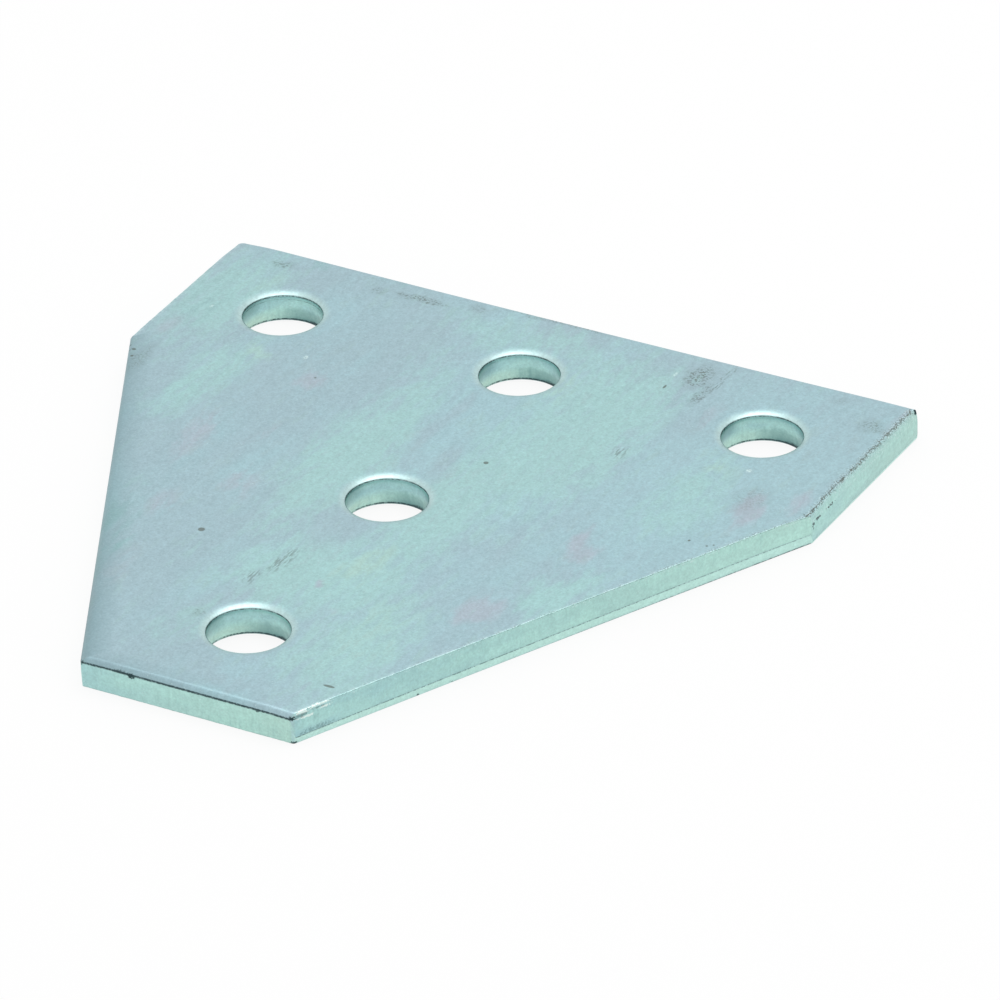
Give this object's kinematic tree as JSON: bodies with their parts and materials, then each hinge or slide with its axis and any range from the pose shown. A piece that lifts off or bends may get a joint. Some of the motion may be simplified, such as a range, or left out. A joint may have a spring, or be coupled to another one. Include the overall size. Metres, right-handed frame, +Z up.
{
  "type": "tee plate",
  "caption": "Flat steel tee plate with diagonal sides and round bolt holes, for joining a strut channel at right angles to the side of another.",
  "frame": {"origin": "on the axis of the middle hole, at the plate's underside, which is within half a millimetre of the centre of the underside's box", "axes": "+X along the bar of the tee, +Y from the stem towards the bar, +Z up through the thickness, out of the face whose hole rims are rolled"},
  "size_m": [0.136, 0.1353, 0.006],
  "materials": {
    "zinc_plated_steel": "clear zinc plating, satin, pale blue-grey with faint green and lilac mottling"
  },
  "bodies": {
    "root": {"tee_plate": "zinc_plated_steel"}
  },
  "joints": []
}
